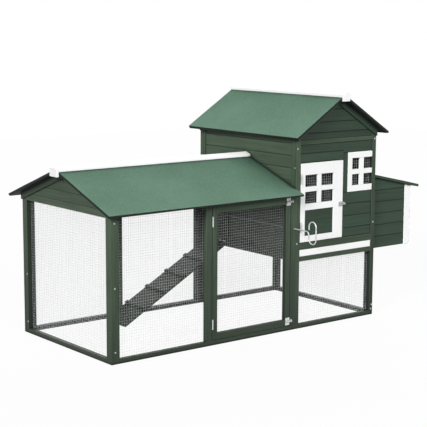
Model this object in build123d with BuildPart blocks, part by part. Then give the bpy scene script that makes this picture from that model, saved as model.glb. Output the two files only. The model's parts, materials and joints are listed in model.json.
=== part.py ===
from build123d import *
from math import atan2, cos, sin, tan
import os

# Wooden chicken coop with a covered run, in millimetres.
# The plan is laid out from the run's front left ground corner: X along the front, Y to the back, Z up.
# The finished part stands with the middle of its base on the origin.

# Plan and heights
run_length = 1070.0
house_width = 535.0
depth = 760.0
run_eave_height = 673.0
run_ridge_height = 832.0
run_eave_overhang = 56.0
run_end_overhang = 44.0
house_eave_height = 946.0
house_ridge_height = 1140.0
house_eave_overhang = 40.0
house_end_overhang = 48.0

# Framing timber
rail_depth = 22.0
sill_height = 22.0
run_post_width = 43.0
run_post_depth = 40.0
mid_post_left = 522.0
mid_post_width = 34.0
latch_post_width = 32.0
back_latch_post_width = 47.0
run_head_height = 20.0
run_end_head_height = 32.0
rafter_width = 24.0
rafter_height = 30.0
house_post_width = 25.0
house_post_depth = 42.0
floor_rail_low = 334.0
floor_rail_height = 24.0
left_rail_height = 36.0
tray_slot_height = 34.0
door_sill_height = 32.0
house_neck_height = 33.0
house_head_height = 20.0

# Tongue and groove boarding
board_thickness = 12.0
board_cover = 60.0
ripped_board = 46.0
gable_first_board = 51.0
board_recess = 4.0
board_chamfer = 2.5
tongue_height = 5.0
tongue_clearance = 0.3

# Roofs
roof_board_thickness = 9.0
felt_thickness = 3.0
cap_thickness = 11.0
run_cap_reach = 32.0
house_cap_reach = 23.0
cap_plate_height = 46.0
rake_batten_width = 30.0
rake_batten_thickness = 8.0

# Welded wire mesh, drawn with every sixth wire
net_pitch = 76.2
net_bar = 2.6
net_wire = 1.2
net_edge_gap = 0.4
net_lap = 18.0
pane_net_lap = 12.0

# Run door
door_gap = 3.0
run_door_stile = 29.0
run_door_top_rail = 36.0
run_door_bottom_rail = 30.0

# House door and window
house_door_width = 281.0
over_door_height = 88.0
house_door_thickness = 20.0
hinge_stile = 30.0
lock_stile = 63.0
mullion_width = 25.0
door_top_rail = 58.0
door_pane_height = 58.0
pane_rail = 24.0
lock_rail = 32.0
door_bottom_rail = 30.0
panel_thickness = 8.0
panel_recess = 6.0
jamb_width = 31.0
over_window_height = 56.0
window_height = 198.0
window_depth = 16.0
window_stile = 29.0
window_mullion = 28.0
window_bottom_rail = 31.0
window_mid_rail = 25.0
window_top_rail = 30.0
window_pane_width = 52.0

# Nest box
nest_front = 30.0
nest_back_margin = 30.0
nest_low = 336.0
nest_floor_thickness = 10.0
nest_length = 294.0
nest_corner_width = 44.0
nest_corner_depth = 20.0
lid_tip_overhang = 45.0
lid_side_overhang = 15.0
lid_thickness = 10.0
lid_top_height = 723.0
lid_fall = 0.225
lid_rail_height = 36.0
divider_thickness = 12.0
divider_gap = 60.0
nest_board_recess = 2.0

# Tray, perches and ramp
tray_front_thickness = 16.0
tray_base_thickness = 6.0
tray_rim_thickness = 10.0
tray_rim_height = 20.0
tray_depth = 690.0
tray_clearance = 1.5
runner_width = 24.0
runner_height = 20.0
seat_clearance = 0.3
perch_radius = 14.0
perch_height = 730.0
perch_spacing = 240.0
ramp_front = 530.0
ramp_width = 170.0
ramp_thickness = 12.0
ramp_foot = 432.0
ramp_end_height = 344.3
cleat_width = 18.0
cleat_height = 9.0
cleat_spacing = 139.0
cleat_count = 4

# Pop door and its pull rod
pop_hole_front = 530.0
pop_hole_width = 170.0
pop_hole_rows = 4
pop_door_lap = 14.5
pop_door_thickness = 8.0
pop_door_travel = 190.0
track_height = 10.0
track_lip = 10.0
track_lip_thickness = 6.5
rod_radius = 3.0
rod_hole_clearance = 0.5
rod_height = 500.0
rod_reach = 106.0
rod_loop_width = 49.0
rod_loop_drop = 58.0
rod_loop_rise = 49.0
rod_loop_end = 8.5
rod_loop_flat = 1.0
rod_bend = 20.0
rod_lap = 120.0
saddle_width = 10.0
saddle_wall = 2.0
saddle_inset = 24.0
saddle_clearance = 0.1

# Butt hinges
leaf_height = 46.0
leaf_depth = 20.0
leaf_thickness = 1.2
leaf_offset = 0.3
barrel_radius = 4.0
pin_radius = 1.5
pin_clearance = 0.05
knuckle_gap = 0.3
pin_head_radius = 2.6
pin_head_height = 1.0
hinge_inset = 52.0
ramp_hinge_inset = 13.0

# Barrel bolts
bolt_radius = 3.0
bolt_clearance = 0.3
bolt_standoff = 1.3
bolt_plate_thickness = 1.5
bolt_plate_width = 26.0
bolt_plate_height = 36.0
bolt_guide_width = 5.0
bolt_guide_wall = 2.0
bolt_length = 30.0
bolt_setback = 1.0
bolt_knob_radius = 2.0
bolt_knob_height = 12.0
bolt_knob_gap = 0.5
keeper_width = 10.0
keeper_height = 14.0
run_bolt_inset = 22.0
house_bolt_height = 595.0
house_bolt_plate_height = 24.0

# Derived places
house_left = run_length
house_right = run_length + house_width
ridge_y = depth / 2
ridge_x = house_left + house_width / 2
run_pitch = atan2(run_ridge_height - run_eave_height, ridge_y + run_eave_overhang)
house_pitch = atan2(house_ridge_height - house_eave_height, house_width / 2 + house_eave_overhang)
run_felt_drop = felt_thickness / cos(run_pitch)
run_roof_drop = (felt_thickness + roof_board_thickness) / cos(run_pitch)
house_felt_drop = felt_thickness / cos(house_pitch)
house_roof_drop = (felt_thickness + roof_board_thickness) / cos(house_pitch)
run_top = run_eave_height + run_eave_overhang * tan(run_pitch) - run_roof_drop
house_top = house_eave_height + house_eave_overhang * tan(house_pitch) - house_roof_drop
run_roof_left = -run_end_overhang
cap_plate_left = run_roof_left - cap_thickness
house_roof_front = -house_end_overhang
house_roof_back = depth + house_end_overhang
inner_left = house_left + house_post_width
inner_right = house_right - house_post_width
inner_back = depth - house_post_depth
floor_rail_top = floor_rail_low + floor_rail_height
left_rail_top = floor_rail_low + left_rail_height
tray_slot_top = floor_rail_top + tray_slot_height
door_sill_top = tray_slot_top + door_sill_height
house_head_top = house_top - house_neck_height
house_head_low = house_head_top - house_head_height
house_door_left = inner_left + door_gap
house_door_right = house_door_left + house_door_width
jamb_left = house_door_right + door_gap
window_left = jamb_left + jamb_width
house_door_low = door_sill_top + door_gap
lintel_low = house_head_low - over_door_height
house_door_top = lintel_low - door_gap
window_top = house_head_low - over_window_height
window_low = window_top - window_height
latch_post_left = run_length - latch_post_width
run_door_left = mid_post_left + mid_post_width + door_gap
run_door_right = latch_post_left - door_gap
run_door_low = sill_height + door_gap
run_head_low = run_top - run_head_height
run_door_top = run_head_low - door_gap
nest_back = depth - nest_back_margin
nest_right = house_right + nest_length
lid_end = house_right + barrel_radius + leaf_offset + leaf_thickness
lid_tip = nest_right + lid_tip_overhang
lid_hinge_x = house_right + barrel_radius
lid_hinge_z = lid_top_height + barrel_radius
pop_hole_back = pop_hole_front + pop_hole_width
pop_hole_top = left_rail_top + pop_hole_rows * board_cover
wall_face_left = house_left + board_recess
pop_panel_back = house_left - seat_clearance
pop_panel_face = pop_panel_back - pop_door_thickness
rod_x = pop_panel_face - rod_radius
loop_front = -rod_reach - rod_loop_width - rod_radius
ramp_hinge_x = house_left - barrel_radius
ramp_end = ramp_hinge_x - leaf_offset - leaf_thickness
bolt_axis_out = bolt_plate_thickness + bolt_standoff + bolt_radius
centre_x = (cap_plate_left + lid_tip) / 2
centre_y = (loop_front + house_roof_back + cap_thickness) / 2

os.makedirs("parts", exist_ok=True)


def at(x, y, z):
    """A plan point in the part's own frame."""
    return (x - centre_x, y - centre_y, z)


def across_x(x):
    """A plane square to X whose sketch coordinates are plan Y and Z."""
    return Plane(origin=at(x, 0, 0), x_dir=(0, 1, 0), z_dir=(1, 0, 0))


def across_y(y):
    """A plane square to Y whose sketch coordinates are plan X and Z, facing the front."""
    return Plane(origin=at(0, y, 0), x_dir=(1, 0, 0), z_dir=(0, -1, 0))


def write_node(name, pieces):
    """Write one node, made of one or more separate pieces."""
    export_step(Compound(label=name, children=pieces), f"parts/{name}.step")


def timber(label, low, high):
    """A squared timber between two opposite corners."""
    with BuildPart() as piece:
        with BuildSketch(Plane(origin=at(*low))):
            Rectangle(high[0] - low[0], high[1] - low[1], align=(Align.MIN, Align.MIN))
        extrude(amount=high[2] - low[2])
    piece.part.label = label
    return piece.part


def prism(label, plane, points, length):
    """A straight piece with a polygon section, grown along the plane's normal."""
    with BuildPart() as piece:
        with BuildSketch(plane):
            with BuildLine():
                Polyline(*points, close=True)
            make_face()
        extrude(amount=length)
    piece.part.label = label
    return piece.part


def board_section(height, groove, tongue):
    """The section of a V-jointed board: thickness inward, height up."""
    third = board_thickness / 3
    points = [(0, board_chamfer), (board_chamfer, 0)]
    if groove:
        groove_top = tongue_height + tongue_clearance
        points += [(third - tongue_clearance, 0), (third - tongue_clearance, groove_top)]
        points += [(2 * third + tongue_clearance, groove_top), (2 * third + tongue_clearance, 0)]
    points += [(board_thickness, 0), (board_thickness, height)]
    if tongue:
        points += [(2 * third, height), (2 * third, height + tongue_height)]
        points += [(third, height + tongue_height), (third, height)]
    points += [(board_chamfer, height), (0, height - board_chamfer)]
    return points


def boarded_wall(label, start, inward, length, levels, cuts=()):
    """Horizontal boards stacked between levels, their ends trimmed by the planes in cuts."""
    run = Vector(inward).cross(Vector(0, 0, 1))
    boards = []
    for row, (low, high) in enumerate(zip(levels, levels[1:])):
        section = board_section(high - low, groove=row > 0, tongue=row < len(levels) - 2)
        with BuildPart() as piece:
            with BuildSketch(Plane(origin=at(start[0], start[1], low), x_dir=inward, z_dir=run)):
                with BuildLine():
                    Polyline(*section, close=True)
                make_face()
            extrude(amount=length)
            for plane in cuts:
                split(bisect_by=plane, keep=Keep.BOTTOM)
        piece.part.label = f"{label}_{row + 1}"
        boards.append(piece.part)
    return boards


def levels_from(low, high, first):
    """Board joints at the board cover above the first joint, closed by the wall's two ends."""
    joints = [low]
    joint = first
    while joint < high - board_chamfer * 2:
        joints.append(joint)
        joint += board_cover
    return joints + [high]


def net(label, plane, width, height):
    """A flat welded net: one sheet with a grid of square holes."""
    columns = max(1, round(width / net_pitch))
    rows = max(1, round(height / net_pitch))
    pitch_across = (width - net_bar) / columns
    pitch_up = (height - net_bar) / rows
    with BuildPart() as sheet:
        with BuildSketch(plane):
            Rectangle(width, height)
            with GridLocations(pitch_across, pitch_up, columns, rows):
                Rectangle(pitch_across - net_bar, pitch_up - net_bar, mode=Mode.SUBTRACT)
        extrude(amount=net_wire)
    sheet.part.label = label
    return sheet.part


def net_facing_y(label, left, right, y_back, low, high):
    """A net square to Y, its back face at y_back."""
    middle = at((left + right) / 2, y_back, (low + high) / 2)
    return net(label, Plane(origin=middle, x_dir=(1, 0, 0), z_dir=(0, -1, 0)), right - left, high - low)


def net_facing_x(label, x_left, front, back, low, high):
    """A net square to X, its left face at x_left."""
    middle = at(x_left, (front + back) / 2, (low + high) / 2)
    return net(label, Plane(origin=middle, x_dir=(0, 1, 0), z_dir=(1, 0, 0)), back - front, high - low)


def slope_layer(ridge, eave, top, bottom):
    """The section of a roof layer between two depths below the slope, with plumb ends."""
    return [
        (ridge[0], ridge[1] - top),
        (eave[0], eave[1] - top),
        (eave[0], eave[1] - bottom),
        (ridge[0], ridge[1] - bottom),
    ]


def cap_leaf(ridge, eave, reach, pitch):
    """The section of one leaf of a ridge cap, lying on the felt."""
    side = 1 if eave[0] > ridge[0] else -1
    edge = (ridge[0] + side * reach, ridge[1] - reach * tan(pitch))
    return slope_layer(ridge, edge, -cap_thickness / cos(pitch), 0)


def cap_plate(ridge, reach, pitch):
    """The outline of the plate that closes a ridge cap's end."""
    rise = cap_thickness / cos(pitch)
    low = ridge[1] + rise - cap_plate_height
    shoulder = ridge[1] + rise - reach * tan(pitch)
    return [
        (ridge[0] - reach, low),
        (ridge[0] + reach, low),
        (ridge[0] + reach, shoulder),
        (ridge[0], ridge[1] + rise),
        (ridge[0] - reach, shoulder),
    ]


def rake_section(ridge, eave_u, pitch, drop):
    """The outline of a batten under a roof slope, plumb at the ridge and at the wall."""
    fall = abs(eave_u - ridge[0]) * tan(pitch)
    return slope_layer(ridge, (eave_u, ridge[1] - fall), drop, drop + rake_batten_width / cos(pitch))


def hinge_leaf(label, axis_point, axis, reach, side, near, knuckles):
    """One hinge leaf: a plate beside the pin's plane, with its share of the knuckles."""
    plane = Plane(origin=at(*axis_point), x_dir=reach, z_dir=axis)
    plate_start = barrel_radius + knuckle_gap
    plate_middle = side * (near + leaf_thickness / 2)
    with BuildPart() as leaf:
        with BuildSketch(plane):
            with Locations(((plate_start + leaf_depth) / 2, plate_middle)):
                Rectangle(leaf_depth - plate_start, leaf_thickness)
        extrude(amount=leaf_height)
        for low, high in knuckles:
            with BuildSketch(plane.offset(low)):
                Circle(barrel_radius)
                with Locations((plate_start / 2, plate_middle)):
                    Rectangle(plate_start, leaf_thickness)
                Circle(pin_radius + pin_clearance, mode=Mode.SUBTRACT)
            extrude(amount=high - low)
    leaf.part.label = label
    return leaf.part


def hinge_pin(label, axis_point, axis):
    """A hinge pin with a flat head at each end."""
    plane = Plane(origin=at(*axis_point), x_dir=Vector(axis).cross(Vector(1, 1, 0)), z_dir=axis)
    shank_start = -pin_clearance - pin_head_height
    with BuildPart() as pin:
        with BuildSketch(plane.offset(shank_start)):
            Circle(pin_radius)
        extrude(amount=leaf_height - 2 * shank_start)
        for head in (shank_start, leaf_height + pin_clearance):
            with BuildSketch(plane.offset(head)):
                Circle(pin_head_radius)
            extrude(amount=pin_head_height)
    pin.part.label = label
    return pin.part


fixed_knuckles = [
    (0, leaf_height / 3 - knuckle_gap / 2),
    (2 * leaf_height / 3 + knuckle_gap / 2, leaf_height),
]
moving_knuckles = [(leaf_height / 3 + knuckle_gap / 2, 2 * leaf_height / 3 - knuckle_gap / 2)]


def hinge(label, axis_point, axis, reach, fixed_side, fixed_near):
    """A butt hinge: its fixed leaf, its moving leaf and its pin."""
    fixed = hinge_leaf(f"{label}_fixed", axis_point, axis, reach, fixed_side, fixed_near, fixed_knuckles)
    moving = hinge_leaf(f"{label}_moving", axis_point, axis, reach, -fixed_side, leaf_offset, moving_knuckles)
    return fixed, moving, hinge_pin(f"{label}_pin", axis_point, axis)


def loop_section(x, z, base_y):
    """The section of a round-backed loop for a bolt along X, standing forward from base_y."""
    outside = bolt_radius + bolt_clearance + bolt_guide_wall
    with BuildSketch(across_x(x)) as section:
        with Locations((-bolt_axis_out, z)):
            Circle(outside)
        with Locations(((base_y - bolt_axis_out) / 2, z)):
            Rectangle(base_y + bolt_axis_out, 2 * outside)
        with Locations((-bolt_axis_out, z)):
            Circle(bolt_radius + bolt_clearance, mode=Mode.SUBTRACT)
    return section.sketch


def bolt_plate(label, edge, z, height):
    """The plate of a barrel bolt on a door, with its two guides."""
    left = edge - bolt_setback - bolt_plate_width
    with BuildPart() as plate:
        with BuildSketch(Plane(origin=at(left, -bolt_plate_thickness, z - height / 2))):
            Rectangle(bolt_plate_width, bolt_plate_thickness, align=(Align.MIN, Align.MIN))
        extrude(amount=height)
        for guide_x in (left + bolt_setback, edge - 2 * bolt_setback - bolt_guide_width):
            extrude(loop_section(guide_x, z, -bolt_plate_thickness), amount=bolt_guide_width)
    plate.part.label = label
    return plate.part


def bolt(label, edge, z):
    """A sliding bolt with its knob, drawn back into the door."""
    knob_x = edge - bolt_plate_width + bolt_guide_width + bolt_knob_radius + bolt_knob_gap
    knob_tip = -bolt_axis_out - bolt_knob_height
    with BuildPart() as bar:
        with BuildSketch(across_x(edge - bolt_setback - bolt_length)):
            with Locations((-bolt_axis_out, z)):
                Circle(bolt_radius)
        extrude(amount=bolt_length)
        with BuildSketch(across_y(-bolt_axis_out)):
            with Locations((knob_x, z)):
                Circle(bolt_knob_radius)
        extrude(amount=-bolt_axis_out - knob_tip)
    bar.part.label = label
    return bar.part


def bolt_keeper(label, edge, z, face_y):
    """The keeper of a barrel bolt, on the post beside a door's closing edge."""
    left = edge + door_gap + bolt_setback
    with BuildPart() as keeper:
        with BuildSketch(Plane(origin=at(left, face_y - bolt_plate_thickness, z - keeper_height / 2))):
            Rectangle(keeper_width, bolt_plate_thickness, align=(Align.MIN, Align.MIN))
        extrude(amount=keeper_height)
        extrude(loop_section(left, z, face_y - bolt_plate_thickness), amount=bolt_guide_width)
    keeper.part.label = label
    return keeper.part


# Run framing
corner_right = run_post_width
corner_back = depth - run_post_depth
back_rail_front = depth - rail_depth
mid_post_right = mid_post_left + mid_post_width
back_latch_left = run_length - back_latch_post_width
mid_low = sill_height
mid_high = run_head_low

with BuildPart() as latch_post:
    with BuildSketch(Plane(origin=at(latch_post_left, 0, 0))):
        Rectangle(latch_post_width, rail_depth, align=(Align.MIN, Align.MIN))
    extrude(amount=run_top)
    with BuildSketch(across_y(rail_depth)):
        with Locations((rod_x, rod_height)):
            Circle(rod_radius + rod_hole_clearance)
    extrude(amount=rail_depth, mode=Mode.SUBTRACT)
latch_post.part.label = "front_latch_post"

write_node("run_posts", [
    timber("front_left_post", (0, 0, 0), (corner_right, run_post_depth, run_top)),
    timber("back_left_post", (0, corner_back, 0), (corner_right, depth, run_top)),
    timber("front_middle_post", (mid_post_left, 0, mid_low), (mid_post_right, rail_depth, mid_high)),
    timber("back_middle_post", (mid_post_left, back_rail_front, mid_low), (mid_post_right, depth, mid_high)),
    latch_post.part,
    timber("back_latch_post", (back_latch_left, back_rail_front, 0), (run_length, depth, run_top)),
])

write_node("run_bottom_rails", [
    timber("front_sill", (corner_right, 0, 0), (latch_post_left, rail_depth, sill_height)),
    timber("back_sill", (corner_right, back_rail_front, 0), (back_latch_left, depth, sill_height)),
    timber("left_sill", (0, run_post_depth, 0), (rail_depth, corner_back, sill_height)),
])

end_head_low = run_top - run_end_head_height
write_node("run_top_rails", [
    timber("front_head", (corner_right, 0, run_head_low), (latch_post_left, rail_depth, run_top)),
    timber("back_head", (corner_right, back_rail_front, run_head_low), (back_latch_left, depth, run_top)),
    timber("left_head", (0, run_post_depth, end_head_low), (rail_depth, corner_back, run_top)),
])

# Run gable and rafters
run_ridge = (ridge_y, run_ridge_height)
run_eaves = {
    "front": (-run_eave_overhang, run_eave_height),
    "back": (depth + run_eave_overhang, run_eave_height),
}
run_under = at(0, ridge_y, run_ridge_height - run_roof_drop)
run_trim = [
    Plane(origin=run_under, x_dir=(1, 0, 0), z_dir=(0, -sin(run_pitch), cos(run_pitch))),
    Plane(origin=run_under, x_dir=(1, 0, 0), z_dir=(0, sin(run_pitch), cos(run_pitch))),
]
gable_levels = levels_from(run_top, run_ridge_height - run_roof_drop, run_top + ripped_board)
gable_boards = boarded_wall("run_gable_board", (0, depth), (1, 0, 0), depth, gable_levels, run_trim)
for side, wall_y in (("front", 0), ("back", depth)):
    section = rake_section(run_ridge, wall_y, run_pitch, run_roof_drop)
    gable_boards.append(
        prism(f"{side}_rake_batten", across_x(-rake_batten_thickness), section, rake_batten_thickness)
    )
write_node("run_gable", gable_boards)

rafter_inset = rail_depth + net_wire + net_edge_gap
rafters = []
for place, left in (("middle", mid_post_left), ("wall", run_length - rafter_width)):
    for side, wall_y in (("front", 0), ("back", depth)):
        foot_y = rafter_inset if wall_y == 0 else depth - rafter_inset
        foot = (foot_y, run_ridge_height - (ridge_y - rafter_inset) * tan(run_pitch))
        section = slope_layer(run_ridge, foot, run_roof_drop, run_roof_drop + rafter_height / cos(run_pitch))
        rafters.append(prism(f"{place}_{side}_rafter", across_x(left), section, rafter_width))
write_node("run_rafters", rafters)

# Run roof
roof_length = run_length - run_roof_left
run_boards = []
run_felts = []
run_caps = []
for side, eave in run_eaves.items():
    board = slope_layer(run_ridge, eave, run_felt_drop, run_roof_drop)
    run_boards.append(prism(f"{side}_roof_board", across_x(run_roof_left), board, roof_length))
    felt = slope_layer(run_ridge, eave, 0, run_felt_drop)
    run_felts.append(prism(f"{side}_felt", across_x(run_roof_left), felt, roof_length))
    leaf = cap_leaf(run_ridge, eave, run_cap_reach, run_pitch)
    run_caps.append(prism(f"{side}_cap_leaf", across_x(run_roof_left), leaf, roof_length))
plate_outline = cap_plate(run_ridge, run_cap_reach, run_pitch)
run_caps.append(prism("end_plate", across_x(cap_plate_left), plate_outline, cap_thickness))
write_node("run_roof_boards", run_boards)
write_node("run_roof_felt", run_felts)
write_node("run_ridge_cap", run_caps)

# Run mesh, fixed to the inner faces of the frames
net_low = sill_height - net_lap
front_net_right = mid_post_right - net_edge_gap
front_net_top = run_head_low + run_head_height - net_edge_gap
write_node("run_front_mesh", [net_facing_y(
    "front_net", corner_right + net_edge_gap, front_net_right, rail_depth + net_wire, net_low, front_net_top
)])
write_node("run_left_mesh", [net_facing_x(
    "left_net", rail_depth, run_post_depth + net_edge_gap, corner_back - net_edge_gap, net_low, run_top
)])
write_node("run_back_mesh", [net_facing_y(
    "back_net", corner_right + net_edge_gap, back_latch_left + net_lap,
    back_rail_front, net_low, front_net_top
)])

# House framing
house_posts = []
for side, low_x in (("left", house_left), ("right", inner_right)):
    for end, low_y in (("front", 0), ("back", inner_back)):
        high = (low_x + house_post_width, low_y + house_post_depth, house_top)
        house_posts.append(timber(f"{end}_{side}_post", (low_x, low_y, 0), high))
jamb_front = board_recess + board_thickness
jamb_back = jamb_front + rail_depth
house_posts.append(timber(
    "door_jamb", (jamb_left, jamb_front, door_sill_top), (window_left, jamb_back, house_head_low)
))
write_node("house_posts", house_posts)

right_rail_left = house_right - rail_depth
write_node("house_base_rails", [
    timber("front_base_rail", (inner_left, 0, 0), (inner_right, rail_depth, sill_height)),
    timber("back_base_rail", (inner_left, back_rail_front, 0), (inner_right, depth, sill_height)),
    timber("right_base_rail", (right_rail_left, house_post_depth, 0), (house_right, inner_back, sill_height)),
])

left_rail_right = house_left + rail_depth
lid_rail_top = lid_hinge_z
lid_rail_low = lid_rail_top - lid_rail_height
write_node("house_rails", [
    timber("front_floor_rail", (inner_left, 0, floor_rail_low), (inner_right, rail_depth, floor_rail_top)),
    timber("door_sill", (inner_left, 0, tray_slot_top), (inner_right, jamb_back, door_sill_top)),
    timber("front_head", (inner_left, 0, house_head_low), (inner_right, rail_depth, house_head_top)),
    timber("back_floor_rail", (inner_left, back_rail_front, floor_rail_low),
           (inner_right, depth, floor_rail_top)),
    timber("back_head", (inner_left, back_rail_front, house_head_low), (inner_right, depth, house_head_top)),
    timber("left_floor_rail", (house_left, house_post_depth, floor_rail_low),
           (left_rail_right, inner_back, left_rail_top)),
    timber("right_floor_rail", (right_rail_left, house_post_depth, floor_rail_low),
           (house_right, inner_back, floor_rail_top)),
    timber("lid_rail", (right_rail_left, house_post_depth, lid_rail_low),
           (house_right, inner_back, lid_rail_top)),
])

lower_net_top = floor_rail_low + net_lap
runner_low = floor_rail_top - runner_height
write_node("house_front_mesh", [net_facing_y(
    "lower_front_net", inner_left + net_edge_gap, inner_right - net_edge_gap,
    rail_depth + net_wire, net_low, lower_net_top
)])
write_node("house_back_mesh", [net_facing_y(
    "lower_back_net", inner_left + net_edge_gap, inner_right - net_edge_gap,
    back_rail_front, net_low, lower_net_top
)])
write_node("house_side_mesh", [net_facing_x(
    "lower_right_net", right_rail_left - net_wire, house_post_depth + net_edge_gap,
    inner_back - net_edge_gap, net_low, runner_low - net_edge_gap
)])

# House boarding
front_start_door = (inner_left, board_recess)
front_start_jamb = (jamb_left, board_recess)
wall_right_length = inner_right - jamb_left
wall_between_posts = inner_back - house_post_depth
lower_first = door_sill_top + ripped_board
front_boards = boarded_wall("over_door_board", front_start_door, (0, 1, 0), jamb_left - inner_left,
                            [lintel_low, (lintel_low + house_head_low) / 2, house_head_low])
front_boards += boarded_wall("under_window_board", front_start_jamb, (0, 1, 0), wall_right_length,
                             levels_from(door_sill_top, window_low, lower_first))
front_boards += boarded_wall("over_window_board", front_start_jamb, (0, 1, 0), wall_right_length,
                             [window_top, house_head_low])
front_boards.append(timber("door_casing", (jamb_left, board_recess, window_low),
                           (window_left, jamb_front, window_top)))
write_node("house_front_boards", front_boards)

back_levels = levels_from(floor_rail_top, house_head_low, floor_rail_top + board_cover)
write_node("house_back_boards", boarded_wall(
    "back_board", (inner_right, depth - board_recess), (0, -1, 0), inner_right - inner_left, back_levels
))

left_levels = levels_from(pop_hole_top, house_top, pop_hole_top + board_cover)
hole_levels = [left_rail_top + board_cover * row for row in range(pop_hole_rows + 1)]
left_boards = boarded_wall("left_board", (wall_face_left, inner_back), (1, 0, 0),
                           wall_between_posts, left_levels)
left_boards += boarded_wall("left_board_back", (wall_face_left, inner_back), (1, 0, 0),
                            inner_back - pop_hole_back, hole_levels)
left_boards += boarded_wall("left_board_front", (wall_face_left, pop_hole_front), (1, 0, 0),
                            pop_hole_front - house_post_depth, hole_levels)
write_node("house_left_boards", left_boards)

right_levels = levels_from(lid_rail_top, house_top, lid_rail_top + board_cover)
write_node("house_right_boards", boarded_wall(
    "right_board", (house_right - board_recess, house_post_depth), (-1, 0, 0),
    wall_between_posts, right_levels
))

# House gables and roof
house_ridge = (ridge_x, house_ridge_height)
house_eaves = {
    "left": (house_left - house_eave_overhang, house_eave_height),
    "right": (house_right + house_eave_overhang, house_eave_height),
}
house_under = at(ridge_x, 0, house_ridge_height - house_roof_drop)
house_trim = [
    Plane(origin=house_under, x_dir=(0, 1, 0), z_dir=(-sin(house_pitch), 0, cos(house_pitch))),
    Plane(origin=house_under, x_dir=(0, 1, 0), z_dir=(sin(house_pitch), 0, cos(house_pitch))),
]
peak = house_ridge_height - house_roof_drop
peak_levels = levels_from(house_top, peak, house_top + gable_first_board)
gables = []
gables += boarded_wall("front_neck_board", (inner_left, 0), (0, 1, 0), inner_right - inner_left,
                       [house_head_top, house_top])
gables += boarded_wall("front_gable_board", (house_left, 0), (0, 1, 0), house_width, peak_levels, house_trim)
gables += boarded_wall("back_neck_board", (inner_right, depth), (0, -1, 0), inner_right - inner_left,
                       [house_head_top, house_top])
gables += boarded_wall("back_gable_board", (house_right, depth), (0, -1, 0), house_width,
                       peak_levels, house_trim)
for end, batten_back in (("front", 0), ("back", depth + rake_batten_thickness)):
    for side, wall_x in (("left", house_left), ("right", house_right)):
        section = rake_section(house_ridge, wall_x, house_pitch, house_roof_drop)
        label = f"{end}_{side}_rake_batten"
        gables.append(prism(label, across_y(batten_back), section, rake_batten_thickness))
write_node("house_gables", gables)

roof_run = house_roof_back - house_roof_front
house_roof_boards = []
house_felts = []
house_caps = []
for side, eave in house_eaves.items():
    board = slope_layer(house_ridge, eave, house_felt_drop, house_roof_drop)
    house_roof_boards.append(prism(f"{side}_roof_board", across_y(house_roof_back), board, roof_run))
    felt = slope_layer(house_ridge, eave, 0, house_felt_drop)
    house_felts.append(prism(f"{side}_felt", across_y(house_roof_back), felt, roof_run))
    leaf = cap_leaf(house_ridge, eave, house_cap_reach, house_pitch)
    house_caps.append(prism(f"{side}_cap_leaf", across_y(house_roof_back), leaf, roof_run))
plate_outline = cap_plate(house_ridge, house_cap_reach, house_pitch)
for end, plate_back in (("front", house_roof_front), ("back", house_roof_back + cap_thickness)):
    house_caps.append(prism(f"{end}_plate", across_y(plate_back), plate_outline, cap_thickness))
write_node("house_roof_boards", house_roof_boards)
write_node("house_roof_felt", house_felts)
write_node("house_ridge_cap", house_caps)

# Window, fixed between the door casing and the right post
window_mid_low = window_low + (window_height - window_mid_rail) / 2
pane_left = window_left + window_stile
mullion_left = pane_left + window_pane_width
mullion_right = mullion_left + window_mullion
pane_low = window_low + window_bottom_rail
pane_high = window_top - window_top_rail
write_node("window_frame", [
    timber("window_stile", (window_left, 0, window_low), (pane_left, window_depth, window_top)),
    timber("window_bottom_rail", (pane_left, 0, window_low), (inner_right, window_depth, pane_low)),
    timber("window_top_rail", (pane_left, 0, pane_high), (inner_right, window_depth, window_top)),
    timber("window_mullion", (mullion_left, 0, pane_low), (mullion_right, window_depth, pane_high)),
    timber("window_bar_left", (pane_left, 0, window_mid_low),
           (mullion_left, window_depth, window_mid_low + window_mid_rail)),
    timber("window_bar_right", (mullion_right, 0, window_mid_low),
           (inner_right, window_depth, window_mid_low + window_mid_rail)),
])
write_node("window_mesh", [net_facing_y(
    "window_net", pane_left - pane_net_lap, inner_right - net_edge_gap, window_depth + net_wire,
    pane_low - pane_net_lap, pane_high + pane_net_lap
)])

# Tray runners and perches
runner_left = house_left + rail_depth
write_node("tray_runners", [
    timber("left_runner", (runner_left, house_post_depth, runner_low),
           (runner_left + runner_width, inner_back, floor_rail_top)),
    timber("right_runner", (right_rail_left - runner_width, house_post_depth, runner_low),
           (right_rail_left, inner_back, floor_rail_top)),
])

perch_left = wall_face_left + board_thickness
perch_right = house_right - board_recess - board_thickness
perches = []
for row, perch_y in enumerate((ridge_y - perch_spacing / 2, ridge_y + perch_spacing / 2)):
    with BuildPart() as perch:
        with BuildSketch(across_x(perch_left)):
            with Locations((perch_y, perch_height + perch_radius)):
                Circle(perch_radius)
        extrude(amount=perch_right - perch_left)
    perch.part.label = f"perch_{row + 1}"
    perches.append(perch.part)
write_node("perches", perches)

# Nest box
lid_drop = (lid_thickness + felt_thickness) * (1 + lid_fall**2) ** 0.5


def lid_under(x):
    """The height of the lid's underside."""
    return lid_top_height - (x - lid_end) * lid_fall - lid_drop


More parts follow.
